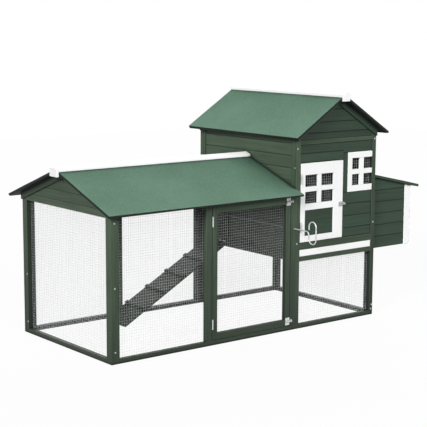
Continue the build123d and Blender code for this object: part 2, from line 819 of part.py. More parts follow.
nest_floor_top = nest_low + nest_floor_thickness
corner_left = nest_right - nest_corner_width
nest_end_face = nest_right - nest_board_recess
nest_end_inner = nest_end_face - board_thickness
nest_side_front = nest_front + nest_board_recess
nest_side_back = nest_back - nest_board_recess
lid_seat = at(lid_end, 0, lid_top_height - lid_drop - seat_clearance)
lid_trim = Plane(origin=lid_seat, x_dir=(0, 1, 0), z_dir=(lid_fall, 0, 1))
nest_levels = levels_from(nest_low, lid_under(house_right), nest_low + board_cover)
end_top = lid_under(nest_end_face) - seat_clearance
nest_boards = boarded_wall("nest_front_board", (house_right, nest_side_front), (0, 1, 0),
                           corner_left - house_right, nest_levels, [lid_trim])
nest_boards += boarded_wall("nest_back_board", (corner_left, nest_side_back), (0, -1, 0),
                            corner_left - house_right, nest_levels, [lid_trim])
nest_boards += boarded_wall("nest_end_board", (nest_end_face, nest_front + nest_corner_depth), (-1, 0, 0),
                            nest_back - nest_front - 2 * nest_corner_depth,
                            levels_from(nest_low, end_top, nest_low + board_cover), [lid_trim])
write_node("nest_boards", nest_boards)

corner_top_left = lid_under(corner_left) - seat_clearance
corner_top_right = lid_under(nest_right) - seat_clearance
corner_section = [
    (corner_left, nest_low), (nest_right, nest_low),
    (nest_right, corner_top_right), (corner_left, corner_top_left)
]
write_node("nest_corner_battens", [
    prism("front_corner_batten", across_y(nest_front + nest_corner_depth), corner_section, nest_corner_depth),
    prism("back_corner_batten", across_y(nest_back), corner_section, nest_corner_depth),
])

nest_inner_front = nest_front + nest_corner_depth
nest_inner_back = nest_back - nest_corner_depth
write_node("nest_floor", [
    timber("nest_floor", (house_right, nest_inner_front, nest_low),
           (nest_end_inner, nest_inner_back, nest_floor_top))
])
divider_front = (nest_front + nest_back - divider_thickness) / 2
divider_section = [
    (house_right, nest_floor_top), (nest_end_inner, nest_floor_top),
    (nest_end_inner, lid_under(nest_end_inner) - divider_gap),
    (house_right, lid_under(house_right) - divider_gap)
]
write_node("nest_divider", [
    prism("nest_divider", across_y(divider_front + divider_thickness), divider_section, divider_thickness)
])

# Nest lid
lid_front = nest_front - lid_side_overhang
lid_back = nest_back + lid_side_overhang
lid_length = lid_back - lid_front
lid_tip_top = lid_top_height - (lid_tip - lid_end) * lid_fall
felt_drop = felt_thickness * (1 + lid_fall**2) ** 0.5
felt_start = lid_hinge_x + barrel_radius + knuckle_gap
felt_start_top = lid_top_height - (felt_start - lid_end) * lid_fall
lid_section = slope_layer((lid_end, lid_top_height), (lid_tip, lid_tip_top), felt_drop, lid_drop)
write_node("nest_lid_board", [prism("nest_lid_board", across_y(lid_back), lid_section, lid_length)])
felt_outline = slope_layer((felt_start, felt_start_top), (lid_tip, lid_tip_top), 0, felt_drop)
write_node("nest_lid_felt", [prism("nest_lid_felt", across_y(lid_back), felt_outline, lid_length)])

# Tray
tray_left = inner_left + tray_clearance
tray_right = inner_right - tray_clearance
tray_low = floor_rail_top + seat_clearance
tray_front_top = tray_slot_top - tray_clearance
rim_low = tray_low + tray_base_thickness
rim_top = rim_low + tray_rim_height
tray_back = tray_front_thickness + tray_depth
rim_right = tray_right - tray_rim_thickness
rim_left = tray_left + tray_rim_thickness
write_node("tray_front", [
    timber("tray_front", (tray_left, 0, tray_low), (tray_right, tray_front_thickness, tray_front_top))
])
write_node("tray_pan", [
    timber("tray_base", (tray_left, tray_front_thickness, tray_low), (tray_right, tray_back, rim_low)),
    timber("left_rim", (tray_left, tray_front_thickness, rim_low), (rim_left, tray_back, rim_top)),
    timber("right_rim", (rim_right, tray_front_thickness, rim_low), (tray_right, tray_back, rim_top)),
    timber("back_rim", (rim_left, tray_back - tray_rim_thickness, rim_low), (rim_right, tray_back, rim_top)),
])

# Ramp
ramp_back = ramp_front + ramp_width
ramp_foot_low = seat_clearance
ramp_slope = atan2(ramp_end_height - ramp_foot_low, ramp_end - ramp_foot)
ramp_drop = ramp_thickness / cos(ramp_slope)
ramp_top_height = ramp_end_height + ramp_drop
ramp_section = [
    (ramp_foot, ramp_foot_low), (ramp_end, ramp_end_height), (ramp_end, ramp_top_height),
    (ramp_foot, ramp_foot_low + ramp_drop)
]
write_node("ramp_board", [prism("ramp_board", across_y(ramp_back), ramp_section, ramp_width)])
cleats = []
for step in range(cleat_count):
    along = cleat_spacing * (step + 1)
    foot = (ramp_foot + along * cos(ramp_slope), ramp_foot_low + ramp_drop + along * sin(ramp_slope))
    lean = Plane(origin=at(foot[0], ramp_back, foot[1]), x_dir=(1, 0, tan(ramp_slope)), z_dir=(0, -1, 0))
    with BuildPart() as cleat:
        with BuildSketch(lean):
            Rectangle(cleat_width, cleat_height, align=(Align.CENTER, Align.MIN))
        extrude(amount=ramp_width)
    cleat.part.label = f"cleat_{step + 1}"
    cleats.append(cleat.part)
write_node("ramp_cleats", cleats)

# Pop door, its tracks and its pull rod
panel_front = pop_hole_front - pop_door_lap
panel_back = pop_hole_back + pop_door_lap
panel_low = left_rail_top + track_height + seat_clearance
panel_high = pop_hole_top - seat_clearance
track_front = panel_front - pop_door_travel
lip_face = pop_panel_face - seat_clearance
lip_left = lip_face - track_lip_thickness
tracks = []
for place, low, lip_low in (
    ("lower", left_rail_top, left_rail_top),
    ("upper", pop_hole_top, pop_hole_top - track_lip),
):
    lip_high = lip_low + track_height + track_lip
    tracks.append(timber(f"{place}_spacer", (lip_face, track_front, low),
                         (wall_face_left, panel_back, low + track_height)))
    tracks.append(timber(f"{place}_lip", (lip_left, track_front, lip_low), (lip_face, panel_back, lip_high)))
write_node("pop_door_tracks", tracks)

write_node("pop_door_panel", [
    timber("pop_door_panel", (pop_panel_face, panel_front, panel_low),
           (pop_panel_back, panel_back, panel_high))
])

loop_bend = (rod_loop_width - rod_loop_flat) / 2
rod_end_y = panel_front + rod_lap
with BuildPart() as pull_rod:
    with BuildLine(across_x(rod_x)) as rod_path:
        FilletPolyline(
            (rod_end_y, rod_height),
            (-rod_reach, rod_height),
            (-rod_reach, rod_height - rod_loop_drop),
            (-rod_reach - rod_loop_width, rod_height - rod_loop_drop),
            (-rod_reach - rod_loop_width, rod_height + rod_loop_rise),
            (-rod_reach, rod_height + rod_loop_rise),
            (-rod_reach, rod_height + rod_loop_end),
            radius=[rod_bend, loop_bend, loop_bend, loop_bend, loop_bend],
        )
    with BuildSketch(across_y(rod_end_y)):
        with Locations((rod_x, rod_height)):
            Circle(rod_radius)
    sweep(path=rod_path.line)
pull_rod.part.label = "pull_rod"
write_node("pull_rod", [pull_rod.part])

saddles = []
saddle_bore = rod_radius + saddle_clearance
saddle_middle = (rod_x + pop_panel_face) / 2
for name, saddle_back in (("front", panel_front + saddle_inset), ("back", rod_end_y - saddle_inset)):
    with BuildPart() as saddle:
        with BuildSketch(across_y(saddle_back)):
            with Locations((rod_x, rod_height)):
                Circle(saddle_bore + saddle_wall)
            with Locations((saddle_middle, rod_height)):
                Rectangle(rod_radius, 2 * (saddle_bore + 2 * saddle_wall))
            with Locations((rod_x, rod_height)):
                Circle(saddle_bore, mode=Mode.SUBTRACT)
            with Locations((saddle_middle, rod_height)):
                Rectangle(rod_radius, 2 * saddle_bore, mode=Mode.SUBTRACT)
        extrude(amount=saddle_width)
        split(bisect_by=across_x(pop_panel_face), keep=Keep.BOTTOM)
    saddle.part.label = f"{name}_saddle"
    saddles.append(saddle.part)
write_node("rod_saddles", saddles)

# Run door
run_inner_left = run_door_left + run_door_stile
run_inner_right = run_door_right - run_door_stile
run_top_rail_low = run_door_top - run_door_top_rail
run_bottom_rail_top = run_door_low + run_door_bottom_rail
write_node("run_door_frame", [
    timber("hinge_stile", (run_door_left, 0, run_door_low), (run_inner_left, rail_depth, run_door_top)),
    timber("closing_stile", (run_inner_right, 0, run_door_low), (run_door_right, rail_depth, run_door_top)),
    timber("bottom_rail", (run_inner_left, 0, run_door_low),
           (run_inner_right, rail_depth, run_bottom_rail_top)),
    timber("top_rail", (run_inner_left, 0, run_top_rail_low), (run_inner_right, rail_depth, run_door_top)),
])
write_node("run_door_mesh", [net_facing_y(
    "run_door_net", run_inner_left - net_lap, run_inner_right + net_lap, rail_depth + net_wire,
    run_bottom_rail_top - net_lap, run_top_rail_low + net_lap
)])

# House door
panes_left = house_door_left + hinge_stile
panes_right = house_door_right - lock_stile
door_mullion_left = (panes_left + panes_right - mullion_width) / 2
upper_pane_top = house_door_top - door_top_rail
upper_pane_low = upper_pane_top - door_pane_height
lower_pane_top = upper_pane_low - pane_rail
lower_pane_low = lower_pane_top - door_pane_height
panel_top = lower_pane_low - lock_rail
panel_bottom = house_door_low + door_bottom_rail
door_back = house_door_thickness
mullion_end = door_mullion_left + mullion_width
write_node("house_door_frame", [
    timber("hinge_stile", (house_door_left, 0, house_door_low), (panes_left, door_back, house_door_top)),
    timber("lock_stile", (panes_right, 0, house_door_low), (house_door_right, door_back, house_door_top)),
    timber("top_rail", (panes_left, 0, upper_pane_top), (panes_right, door_back, house_door_top)),
    timber("lock_rail", (panes_left, 0, panel_top), (panes_right, door_back, lower_pane_low)),
    timber("bottom_rail", (panes_left, 0, house_door_low), (panes_right, door_back, panel_bottom)),
    timber("mullion", (door_mullion_left, 0, lower_pane_low), (mullion_end, door_back, upper_pane_top)),
    timber("left_pane_bar", (panes_left, 0, lower_pane_top), (door_mullion_left, door_back, upper_pane_low)),
    timber("right_pane_bar", (mullion_end, 0, lower_pane_top), (panes_right, door_back, upper_pane_low)),
])
panel_middle = (panel_bottom + panel_top) / 2
panel_back_y = panel_recess + panel_thickness
write_node("house_door_panel", [
    timber("lower_panel_board", (panes_left, panel_recess, panel_bottom),
           (panes_right, panel_back_y, panel_middle)),
    timber("upper_panel_board", (panes_left, panel_recess, panel_middle),
           (panes_right, panel_back_y, panel_top)),
])
write_node("house_door_mesh", [net_facing_y(
    "house_door_net", panes_left - pane_net_lap, panes_right + pane_net_lap, door_back + net_wire,
    lower_pane_low - pane_net_lap, upper_pane_top + pane_net_lap
)])

# Hinges: two each for the run door, the house door, the nest lid and the ramp
run_hinge_x = mid_post_right + door_gap / 2
house_hinge_x = inner_left + door_gap / 2
hinge_y = -barrel_radius
door_leaf_near = door_gap / 2 - leaf_thickness
wall_leaf_near = barrel_radius - leaf_thickness
ramp_hinge_z = ramp_top_height + barrel_radius
up = (0, 0, 1)
to_back = (0, 1, 0)
down = (0, 0, -1)
frame_leaves = []
pins = []
run_door_leaves = []
house_door_leaves = []
lid_leaves = []
ramp_leaves = []
for place in ("lower", "upper"):
    upper = place == "upper"
    run_z = run_door_top - hinge_inset - leaf_height if upper else run_door_low + hinge_inset
    house_z = house_door_top - hinge_inset - leaf_height if upper else house_door_low + hinge_inset
    lid_y = nest_back - hinge_inset - leaf_height if upper else nest_front + hinge_inset
    ramp_y = ramp_back - ramp_hinge_inset - leaf_height if upper else ramp_front + ramp_hinge_inset
    fittings = (
        ("run_door", (run_hinge_x, hinge_y, run_z), up, to_back, 1, door_leaf_near, run_door_leaves),
        ("house_door", (house_hinge_x, hinge_y, house_z), up, to_back, 1, door_leaf_near, house_door_leaves),
        ("nest_lid", (lid_hinge_x, lid_y, lid_hinge_z), to_back, down, 1, wall_leaf_near, lid_leaves),
        ("ramp", (ramp_hinge_x, ramp_y, ramp_hinge_z), to_back, down, -1, wall_leaf_near, ramp_leaves),
    )
    for owner, point, axis, reach, fixed_side, near, moving_leaves in fittings:
        fixed, moving, pin = hinge(f"{owner}_{place}_hinge", point, axis, reach, fixed_side, near)
        frame_leaves.append(fixed)
        moving_leaves.append(moving)
        pins.append(pin)
write_node("frame_hinge_leaves", frame_leaves)
write_node("hinge_pins", pins)
write_node("run_door_hinge_leaves", run_door_leaves)
write_node("house_door_hinge_leaves", house_door_leaves)
write_node("nest_lid_hinge_leaves", lid_leaves)
write_node("ramp_hinge_leaves", ramp_leaves)

# Barrel bolts on the closing edges of both doors
run_bolt_top = run_door_top - run_bolt_inset
run_bolt_bottom = run_door_low + run_bolt_inset
write_node("run_door_bolt_plates", [
    bolt_plate("top_bolt_plate", run_door_right, run_bolt_top, bolt_plate_height),
    bolt_plate("bottom_bolt_plate", run_door_right, run_bolt_bottom, bolt_plate_height),
])
write_node("run_door_bolt_top", [bolt("run_door_bolt_top", run_door_right, run_bolt_top)])
write_node("run_door_bolt_bottom", [bolt("run_door_bolt_bottom", run_door_right, run_bolt_bottom)])
write_node("house_door_bolt_plate", [
    bolt_plate("house_door_bolt_plate", house_door_right, house_bolt_height, house_bolt_plate_height)
])
write_node("house_door_bolt", [bolt("house_door_bolt", house_door_right, house_bolt_height)])
write_node("bolt_keepers", [
    bolt_keeper("top_keeper", run_door_right, run_bolt_top, 0),
    bolt_keeper("bottom_keeper", run_door_right, run_bolt_bottom, 0),
    bolt_keeper("house_keeper", house_door_right, house_bolt_height, board_recess),
])
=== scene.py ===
"""Looks of the wooden chicken coop with run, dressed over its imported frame. Lengths are metres."""
import bpy
import bmesh
import json
import math
import random
from collections import Counter
from mathutils import Matrix, Vector, noise

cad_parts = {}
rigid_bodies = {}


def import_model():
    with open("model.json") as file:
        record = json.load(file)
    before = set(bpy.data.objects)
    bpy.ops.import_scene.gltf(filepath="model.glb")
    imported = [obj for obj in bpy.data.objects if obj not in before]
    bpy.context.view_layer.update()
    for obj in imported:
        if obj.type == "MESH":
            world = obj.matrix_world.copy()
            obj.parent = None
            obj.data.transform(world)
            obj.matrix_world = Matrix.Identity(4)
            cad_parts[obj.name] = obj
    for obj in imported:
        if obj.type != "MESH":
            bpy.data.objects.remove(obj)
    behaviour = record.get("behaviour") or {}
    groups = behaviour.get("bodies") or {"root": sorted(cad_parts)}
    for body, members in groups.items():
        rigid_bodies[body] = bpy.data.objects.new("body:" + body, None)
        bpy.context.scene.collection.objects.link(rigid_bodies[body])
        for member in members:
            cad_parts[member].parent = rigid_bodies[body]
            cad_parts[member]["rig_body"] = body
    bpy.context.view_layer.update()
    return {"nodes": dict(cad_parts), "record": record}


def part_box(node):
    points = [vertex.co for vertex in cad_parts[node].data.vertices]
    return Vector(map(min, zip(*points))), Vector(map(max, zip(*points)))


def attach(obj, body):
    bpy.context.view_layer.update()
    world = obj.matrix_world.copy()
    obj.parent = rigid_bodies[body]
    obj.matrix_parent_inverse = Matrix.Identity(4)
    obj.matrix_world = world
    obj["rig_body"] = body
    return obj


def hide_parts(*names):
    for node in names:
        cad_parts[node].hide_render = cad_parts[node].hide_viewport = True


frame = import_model()

# Each node's material slot, in the record's order, and the kinds of node
SLOTS = {entry["node"]: entry["material_slot"] for entry in frame["record"]["subparts"]}
TIMBERS = [node for node, slot in SLOTS.items() if slot.endswith("_wood")]
FELTS = [node for node, slot in SLOTS.items() if slot == "roof_felt"]
NETS = [node for node in SLOTS if node.endswith("_mesh")]
FITTINGS = [node for node, slot in SLOTS.items() if slot == "galvanised" and node not in NETS]

# Nodes that differ from the rest of their slot
# The roof boards are near-black: painted shade for their undersides and edges
DARK_BOARDS = ("run_roof_boards", "house_roof_boards")
# These boards take a darker copy of the green stain: painted shade
DEEP_BOARDS = (
    "house_front_boards", "house_gables", "nest_boards", "house_door_panel", "nest_lid_board",
    "ramp_board", "ramp_cleats",
)
WALL_BOARDS = ("house_left_boards", "house_right_boards", "house_back_boards")
FACED_FRAMES = ("house_door_frame", "window_frame")
THIN_TIMBERS = ("pop_door_tracks", "house_door_panel")
PANE_NETS = ("house_door_mesh", "window_mesh")
# These fittings inside are dark: painted shade
SHADED_FITTINGS = ("ramp_hinge_leaves", "rod_saddles")
BRIGHT_FITTINGS = ("run_door_bolt_top", "run_door_bolt_bottom", "run_door_bolt_plates", "bolt_keepers")

# Corners of the run's and the house's posts, and the middle of the space inside each
RUN_LOW, RUN_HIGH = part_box("run_posts")
HOUSE_LOW, HOUSE_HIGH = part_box("house_posts")
HOUSE_MIDDLE = (HOUSE_LOW + HOUSE_HIGH) / 2
RUN_MIDDLE = Vector(((RUN_LOW.x + HOUSE_LOW.x) / 2, HOUSE_MIDDLE.y, HOUSE_MIDDLE.z))

# Directions, and the rise at which a line of unit length counts as upright
ALONG_X = Vector((1, 0, 0))
ALONG_Y = Vector((0, 1, 0))
ALONG_Z = Vector((0, 0, 1))
FRONT = -ALONG_Y
BACK = ALONG_Y
LEFT = -ALONG_X
UPRIGHT = 0.9

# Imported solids: decimals that tell points apart, the turns of flat and sharp edges, a length that is nothing
POINT_DECIMALS = 6
FLAT_TURN = math.radians(1)
SHARP_TURN = math.radians(20)
LEAST_LENGTH = 0.000002

# Rounded arrises
TIMBER_EDGE = 0.0012
BOARD_EDGE = 0.0006
PAINTED_EDGE = 0.0016
EDGE_STEPS = 2
ROUND_PROFILE = 0.5

# The roof boards' lower arris at the eaves is cut back, so that only a thin edge shows
EAVE_BEVEL = 0.0072
EAVE_REACH = 0.0005

# Faces less square than this to a board's own axes are its chamfers and arrises, where stain gathers
SQUARE_ON = 0.9

# Faces that look into the run or the house, at least this far from its middle, are darkened by painted shade
INNER_REACH = 0.1
INNER_SHARE = 0.6

# Wood grain: how often each pattern repeats in a metre along and across the grain, and its share in the grain
STREAKS = {"along": 2.6, "across": 70.0, "detail": 4.0, "distortion": 0.6}
STREAK_SHARE = 0.5
FIBRE = {"along": 14.0, "across": 520.0, "detail": 3.0, "distortion": 0.2}
FIBRE_SHARE = 0.25
PATCHES = {"along": 3.0, "across": 9.0, "detail": 2.0, "distortion": 0.0}
PATCH_SHARE = 0.25
GRAIN_ROUGHNESS = 0.6
GRAIN_SHIFT = 4.0
KNOTS = {"along": 3.1, "across": 17.0}
KNOT_STOPS = [(0.05, "FFFFFF"), (0.16, "000000")]
WOOD_ROUGH_SPAN = 0.1
WOOD_BUMP = 0.5
WOOD_SPECULAR = 0.3

# Timbers' chance tones span this much, and painted shade darkens green ones towards the ground up to these
# heights
TONE_SPAN = 0.2
GROUND_SHADE_TONES = [
    (0.004, "404040"), (0.012, "AAAAAA"), (0.2, "CDCDCD"), (0.42, "ECECEC"), (0.62, "FFFFFF"),
]

# White frames are painted from the front, and stained behind this depth
PAINT_DEPTH = 0.009
PAINT_WANDER = 0.003
STAIN_COLOUR = "1A231C"

# Painted shade where surfaces stand close: its largest share, the reach of the test for closeness, and the
# openness at which it is full and at which there is none
GREEN_CREVICE_SHADE = {"share": 0.85, "reach": 0.03, "full": 0.4, "none": 0.74}
PAINT_CREVICE_SHADE = {"share": 0.7, "reach": 0.03, "full": 0.2, "none": 0.65}
FITTING_CREVICE_SHADE = {"share": 0.8, "reach": 0.012, "full": 0.2, "none": 0.65}
FELT_BROAD_SHADE = {"share": 0.75, "reach": 0.2, "full": 0.45, "none": 1.0}
FELT_CLOSE_SHADE = {"share": 0.9, "reach": 0.03, "full": 0.8, "none": 0.94}
SHADE_COLOUR = "0A120D"
BROAD_SHADE_COLOUR = "1B3A2B"
# Bitumen for the felt's cut edges, also used for painted shade at close steps
BITUMEN_AND_SHADE_COLOUR = "171C19"
CREVICE_RAYS = 8

# Roof felt: its mineral face, its painted shade towards the ridge, and the bitumen at its cut edges
GRANULE_SCALE = 620.0
GRANULE_DEPTH = 0.0006
GRANULE_BUMP = 0.6
GRANULE_STOPS = [(0.0, "547460"), (0.3, "628370"), (0.62, "6C8D7A"), (0.85, "799B89"), (1.0, "97B4A5")]
FELT_GRIT = {"scale": 900.0, "detail": 2.0}
FELT_ROUGH = (0.82, 0.98)
FELT_PATCHES = {"scale": 3.2, "detail": 3.0, "roughness": 0.55}
FELT_PATCH_STOPS = [(0.3, "E4E6E2"), (0.7, "FFFFFF")]
RIDGE_SHADE_STOPS = [(0.0, "FFFFFF"), (1.0, "E6E8E6")]
CUT_SHARE = 0.8
FELT_SPECULAR = 0.2

# Roof felt: its folded edges, its waves, and how far a cut face turns from the sheet
FELT_FOLD = 0.0016
FOLD_STEPS = 3
FELT_STEP = 0.045
FELT_WAVE = 0.0007
FELT_WAVE_LENGTH = 0.16
FELT_EDGE = 0.5

# Zinc: its spangle and haze, and how far its roughness falls and rises with the haze
SPANGLE_SCALE = 260.0
ZINC_HAZE = {"scale": 40.0, "detail": 4.0}
HAZE_STOPS = [(0.35, "E6E8E8"), (0.65, "FFFFFF")]
ZINC_SMOOTHER = 0.08
ZINC_ROUGHER = 0.1

# Painted shade on the part of the pull rod that runs into the run
ROD_SHADE_LENGTH = 0.03
ROD_SHADE_SHARE = 0.9
ROD_SHADE_COLOUR = "2E3431"

# Welded mesh, with stouter wire in the panes; crossing wires sink into each other and stand a little astray
WIRE_PITCH = 0.0127
WIRE_RADIUS = 0.00029
PANE_WIRE_RADIUS = 0.0004
WIRE_SIDES = 6
WIRE_SINK = 0.0001
WIRE_WANDER = 0.00018

# Screw heads: the rim's radius, and as shares of it the foot's, the crown's and the slots' reach
SCREW_SIDES = 16
SCREW_RADIUS = 0.0042
SCREW_FOOT = 0.6
SCREW_CROWN = 0.9
SLOT_REACH = 0.62

# Screw heads: the slots' arms and width, the foot's depth, the crown's height and the floor's share of that
SLOT_ARMS = 4
SLOT_WIDTH = 0.0013
SCREW_SINK = 0.001
SCREW_RISE = 0.0007
SLOT_FLOOR = 0.1

# Screw places on each side: how far along it from the run's front left corner, and how high
FRONT_SCREWS = [
    (0.020, 0.627), (0.020, 0.340), (0.020, 0.054), (1.076, 0.886), (1.077, 0.424),
    (1.596, 0.908), (1.595, 0.483), (1.598, 0.052), (1.593, 0.030),
]
BACK_SCREWS = [
    (0.020, 0.627), (0.020, 0.340), (0.020, 0.054), (1.082, 0.886), (1.082, 0.424),
    (1.593, 0.908), (1.593, 0.483), (1.593, 0.050),
]
RUN_LEFT_SCREWS = [(0.727, 0.290), (0.727, 0.056)]
HOUSE_LEFT_SCREWS = [(0.014, 0.793), (0.746, 0.793)]

# Camera, fitted to the photograph's straight edges; its place is counted from the run's front left corner
CAMERA_PLACE = Vector((-2.9300, -4.4513, 1.5032))
CAMERA_YAW = math.radians(38.12)
CAMERA_PITCH = math.radians(-8.86)
CAMERA_ROLL = math.radians(0.234)
FOCAL_PIXELS = 1251.7
IMAGE_PIXELS = 427
SENSOR_MILLIMETRES = 36.0

# Studio: the floor as it is seen and as it throws light back, the sky and three soft lamps
FLOOR_HALF = 9.0
FLOOR_WHITE = 0.9
FLOOR_BOUNCE = 0.1
FLOOR_GLOW = 0.94
FLOOR_ROUGH = 0.9
SKY_LIGHT = 0.12
KEY_TOWARDS = (-0.82, -0.38, 0.43)
KEY_LIGHT = 0.88
KEY_SPREAD = math.radians(20)
FRONT_TOWARDS = (-0.08, -0.91, 0.4)
FRONT_LIGHT = 0.57
FRONT_SPREAD = math.radians(24)
BACK_TOWARDS = (0.66, 0.71, 0.24)
BACK_LIGHT = 0.75
BACK_SPREAD = math.radians(60)

# Numbers of a colour mix's sockets, whose names other kinds of mix share
MIX_FACTOR, MIX_FIRST, MIX_SECOND, MIX_RESULT = 0, 6, 7, 2


# Material helpers
def node_adder(tree):
    """A function that adds nodes to a tree, their inputs set or linked."""
    def add(kind, inputs=None, **settings):
        node = tree.nodes.new(kind)
        for key, value in settings.items():
            setattr(node, key, value)
        for key, value in (inputs or {}).items():
            if isinstance(value, bpy.types.NodeSocket):
                tree.links.new(value, node.inputs[key])
            else:
                node.inputs[key].default_value = value
        return node

    return add


def new_material(name):
    """A node material, its shader, a function that adds nodes and one that links to the shader."""
    material = bpy.data.materials.new(name)
    material.use_nodes = True
    tree = material.node_tree
    shader = tree.nodes["Principled BSDF"]

    def to_shader(socket, name):
        tree.links.new(socket, shader.inputs[name])

    return material, shader, node_adder(tree), to_shader


def srgb(text):
    """A linear colour from six hex digits, by the standard curve."""
    channels = [int(text[i:i + 2], 16) / 255 for i in (0, 2, 4)]
    linear = [c / 12.92 if c <= 0.04045 else ((c + 0.055) / 1.055) ** 2.4 for c in channels]
    return (*linear, 1.0)


def grey(level):
    """A neutral linear colour."""
    return (level, level, level, 1.0)


def ramp(add, factor, stops):
    """A colour ramp through (place, hex colour) stops."""
    node = add("ShaderNodeValToRGB", {"Fac": factor})
    elements = node.color_ramp.elements
    while len(elements) < len(stops):
        elements.new(0.5)
    for element, (place, colour) in zip(elements, stops):
        element.position = place
        element.color = srgb(colour)
    return node.outputs["Color"]


def mixed(add, factor, first, second, blend="MIX"):
    """A colour mix."""
    inputs = {MIX_FACTOR: factor, MIX_FIRST: first, MIX_SECOND: second}
    return add("ShaderNodeMix", inputs, data_type="RGBA", blend_type=blend).outputs[MIX_RESULT]


def covered(add, colour, share, cover):
    """A colour with a share of another, given in hex digits, laid over it."""
    return mixed(add, share, colour, srgb(cover))


def shaded(add, colour, tones):
    """A colour multiplied by tones."""
    return mixed(add, 1.0, colour, tones, "MULTIPLY")


def arithmetic(add, operation, *values):
    """A maths node on numbers or sockets."""
    return add("ShaderNodeMath", dict(enumerate(values)), operation=operation).outputs["Value"]


def between(add, value, low, high):
    """A number from 0 to 1, brought between two others."""
    return add("ShaderNodeMapRange", {"Value": value, "To Min": low, "To Max": high}).outputs["Result"]


def carried(add, name):
    """A number that the mesh carries."""
    return add("ShaderNodeAttribute", attribute_name=name).outputs["Fac"]


def place_in(add, space):
    """The place of a point in its object's space, which is the frame's, or generated from its piece's box."""
    return add("ShaderNodeTexCoord").outputs[space]


def place_along(add, axis, space="Object"):
    """The place of a point along one axis."""
    return add("ShaderNodeSeparateXYZ", {"Vector": place_in(add, space)}).outputs[axis]


def noise_texture(add, place, scale, detail, roughness=0.5, distortion=0.0):
    """Noise of several sizes."""
    return add("ShaderNodeTexNoise", {
        "Vector": place, "Scale": scale, "Detail": detail, "Roughness": roughness, "Distortion": distortion,
    }).outputs["Fac"]


def cell_texture(add, place, scale):
    """Scattered cells: their colours, and the distance from their middles."""
    return add("ShaderNodeTexVoronoi", {"Vector": place, "Scale": scale}, feature="F1").outputs


def painted_crevice_shade(add, share, reach, full, none):
    """How much painted shade a point takes, most where surfaces stand close."""
    openness = add("ShaderNodeAmbientOcclusion", {"Distance": reach}, samples=CREVICE_RAYS).outputs["AO"]
    return add("ShaderNodeMapRange", {
        "Value": openness, "From Min": full, "From Max": none, "To Min": share, "To Max": 0.0,
    }).outputs["Result"]


def bumped(add, height, strength, depth):
    """Surface directions bent by a height."""
    inputs = {"Height": height, "Strength": strength, "Distance": depth}
    return add("ShaderNodeBump", inputs).outputs["Normal"]


# Materials
def grain_place(add, along, across):
    """The place of a point in its timber, scaled along and across the grain."""
    grain = add("ShaderNodeAttribute", attribute_name="grain").outputs["Vector"]
    return add("ShaderNodeMapping", {"Vector": grain, "Scale": (along, across, across)}).outputs["Vector"]


def grain_noise(add, along, across, detail, distortion):
    """Noise drawn out along the grain."""
    return noise_texture(add, grain_place(add, along, across), 1.0, detail, GRAIN_ROUGHNESS, distortion)


def wood_grain(add):
    """The height of the grain, its fine fibre alone, and its knots."""
    streaks = grain_noise(add, **STREAKS)
    fibre = grain_noise(add, **FIBRE)
    patches = grain_noise(add, **PATCHES)
    grain = arithmetic(add, "MULTIPLY", streaks, STREAK_SHARE)
    grain = arithmetic(add, "MULTIPLY_ADD", fibre, FIBRE_SHARE, grain)
    grain = arithmetic(add, "MULTIPLY_ADD", patches, PATCH_SHARE, grain)
    cells = cell_texture(add, grain_place(add, **KNOTS), 1.0)
    return grain, fibre, ramp(add, cells["Distance"], KNOT_STOPS)


def wood_material(
    name, stops, edge_colour, edge_share, rough, grain_depth, knots,
    tone_span=TONE_SPAN, crevice_shade=None, ground_shaded=False, stain_from=None,
):
    """Softwood whose grain runs along each timber, with streaks, fibre, knots and edges of their own colour:
    lighter edges are wear with a painted highlight, and boards' joints are dark; painted shade falls on faces
    that look into the run or the house and where surfaces stand close.

    Timber with ground shade darkens towards the ground in painted shade, and a painted frame is stained behind
    a place on the Y axis.
    """
    material, shader, add, to_shader = new_material(name)
    grain, fibre, knot = wood_grain(add)
    colour = ramp(add, grain, stops)
    colour = covered(add, colour, arithmetic(add, "MULTIPLY", knot, knots), stops[0][1])
    # The tone is a chance tone plus the solid's painted light or shade
    light = arithmetic(add, "MULTIPLY_ADD", carried(add, "tone"), tone_span, 1.0 - tone_span / 2)
    tones = add("ShaderNodeCombineColor", {"Red": light, "Green": light, "Blue": light}).outputs["Color"]
    colour = shaded(add, colour, tones)
    # Edge colour: lighter edges are wear with a painted highlight; boards' joints are dark
    edge_mark = arithmetic(add, "MULTIPLY", carried(add, "edge"), edge_share)
    colour = covered(add, colour, edge_mark, edge_colour)
    # Painted shade on faces that look into the run or the house
    inner_shade = arithmetic(add, "MULTIPLY", carried(add, "inner"), INNER_SHARE)
    colour = covered(add, colour, inner_shade, SHADE_COLOUR)
    # Painted shade towards the ground
    if ground_shaded:
        colour = shaded(add, colour, ramp(add, place_along(add, "Z"), GROUND_SHADE_TONES))
    if stain_from is not None:
        border = arithmetic(add, "MULTIPLY_ADD", fibre, PAINT_WANDER, stain_from - PAINT_WANDER / 2)
        stained = arithmetic(add, "GREATER_THAN", place_along(add, "Y"), border)
        colour = covered(add, colour, stained, STAIN_COLOUR)
    # Painted shade where surfaces stand close
    if crevice_shade:
        colour = covered(add, colour, painted_crevice_shade(add, **crevice_shade), SHADE_COLOUR)
    to_shader(colour, "Base Color")
    to_shader(between(add, fibre, rough - WOOD_ROUGH_SPAN, rough + WOOD_ROUGH_SPAN), "Roughness")
    to_shader(bumped(add, grain, WOOD_BUMP, grain_depth), "Normal")
    shader.inputs["Specular IOR Level"].default_value = WOOD_SPECULAR
    return material


